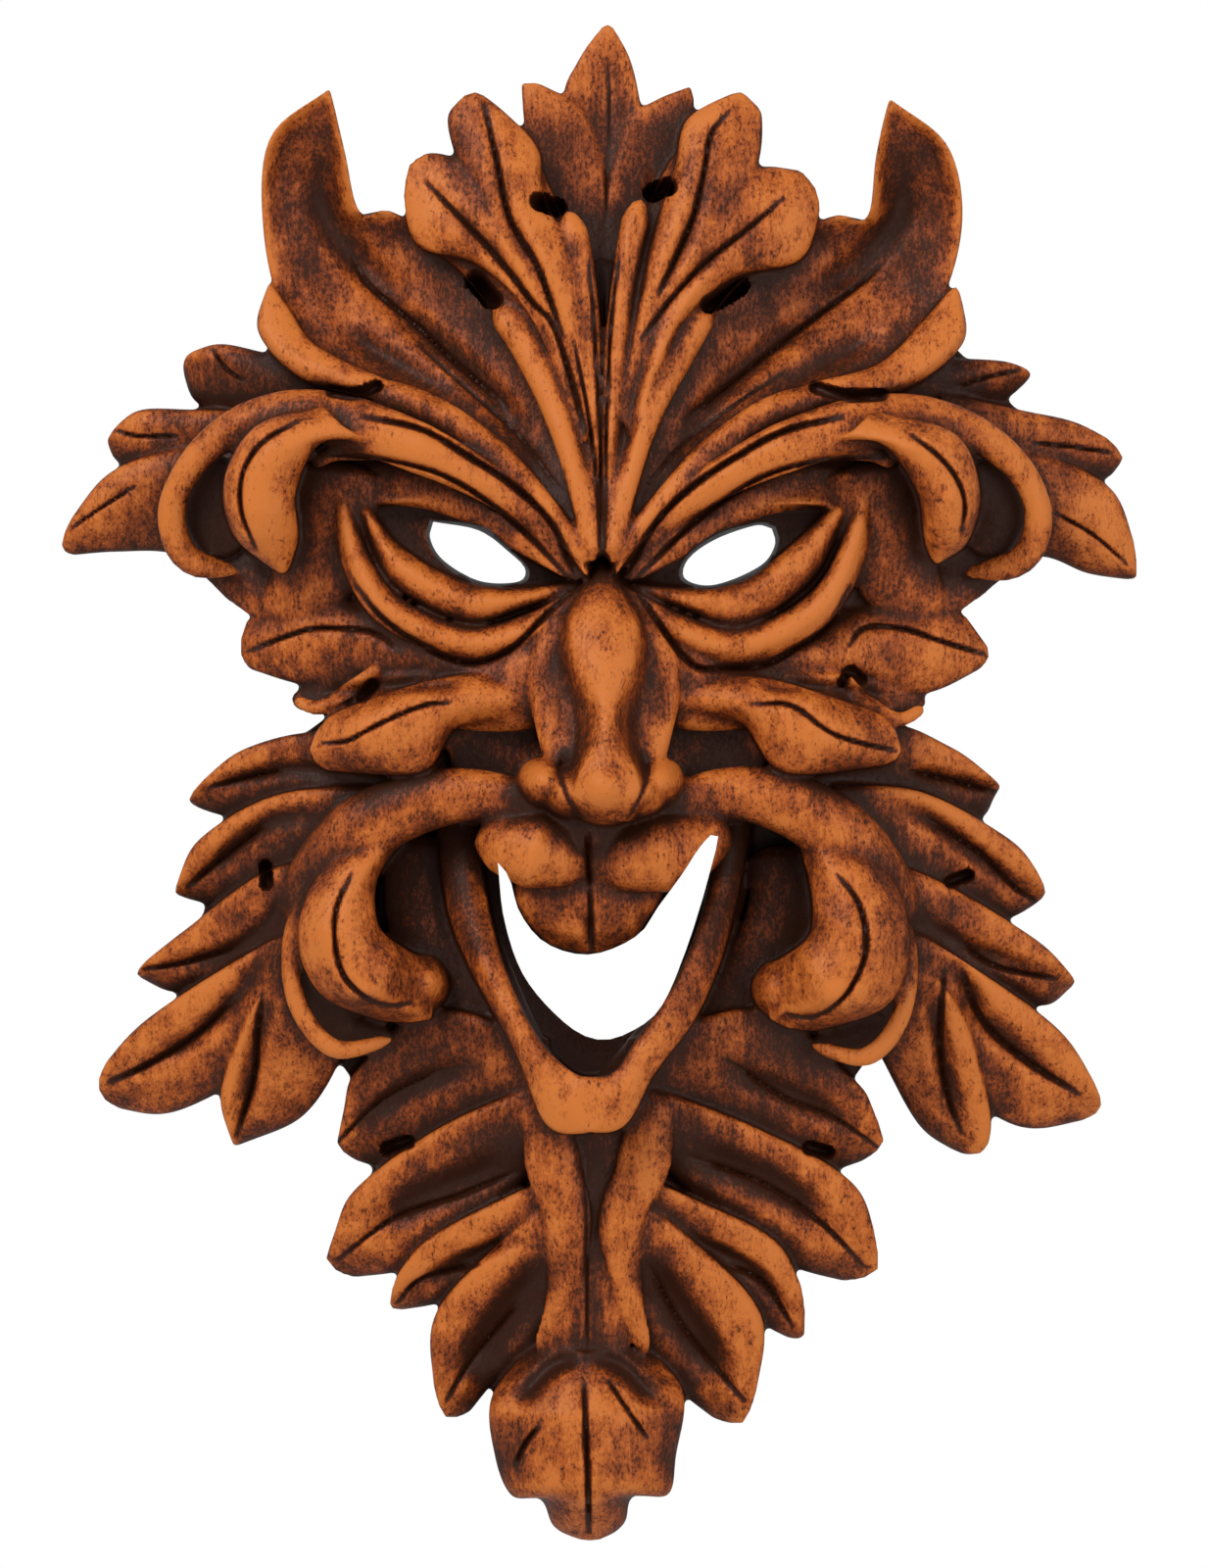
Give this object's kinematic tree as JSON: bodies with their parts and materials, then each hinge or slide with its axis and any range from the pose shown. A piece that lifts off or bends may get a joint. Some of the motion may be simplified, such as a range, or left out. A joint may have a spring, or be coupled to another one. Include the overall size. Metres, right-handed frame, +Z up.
{
  "type": "green man wall plaque",
  "caption": "Carved wooden leaf-face mask plaque with open eyes and open mouth, flat at the back for hanging on a wall.",
  "frame": {"origin": "on the flat back at the middle of the brow, where the plaque meets the wall", "axes": "+Z up the face, +Y into the wall, +X to the viewer's right"},
  "size_m": [0.3628, 0.0972, 0.5089],
  "materials": {
    "wood": "dark stained and waxed, worn bright on the ridges"
  },
  "bodies": {
    "root": {"carved_mask": "wood"}
  },
  "joints": []
}
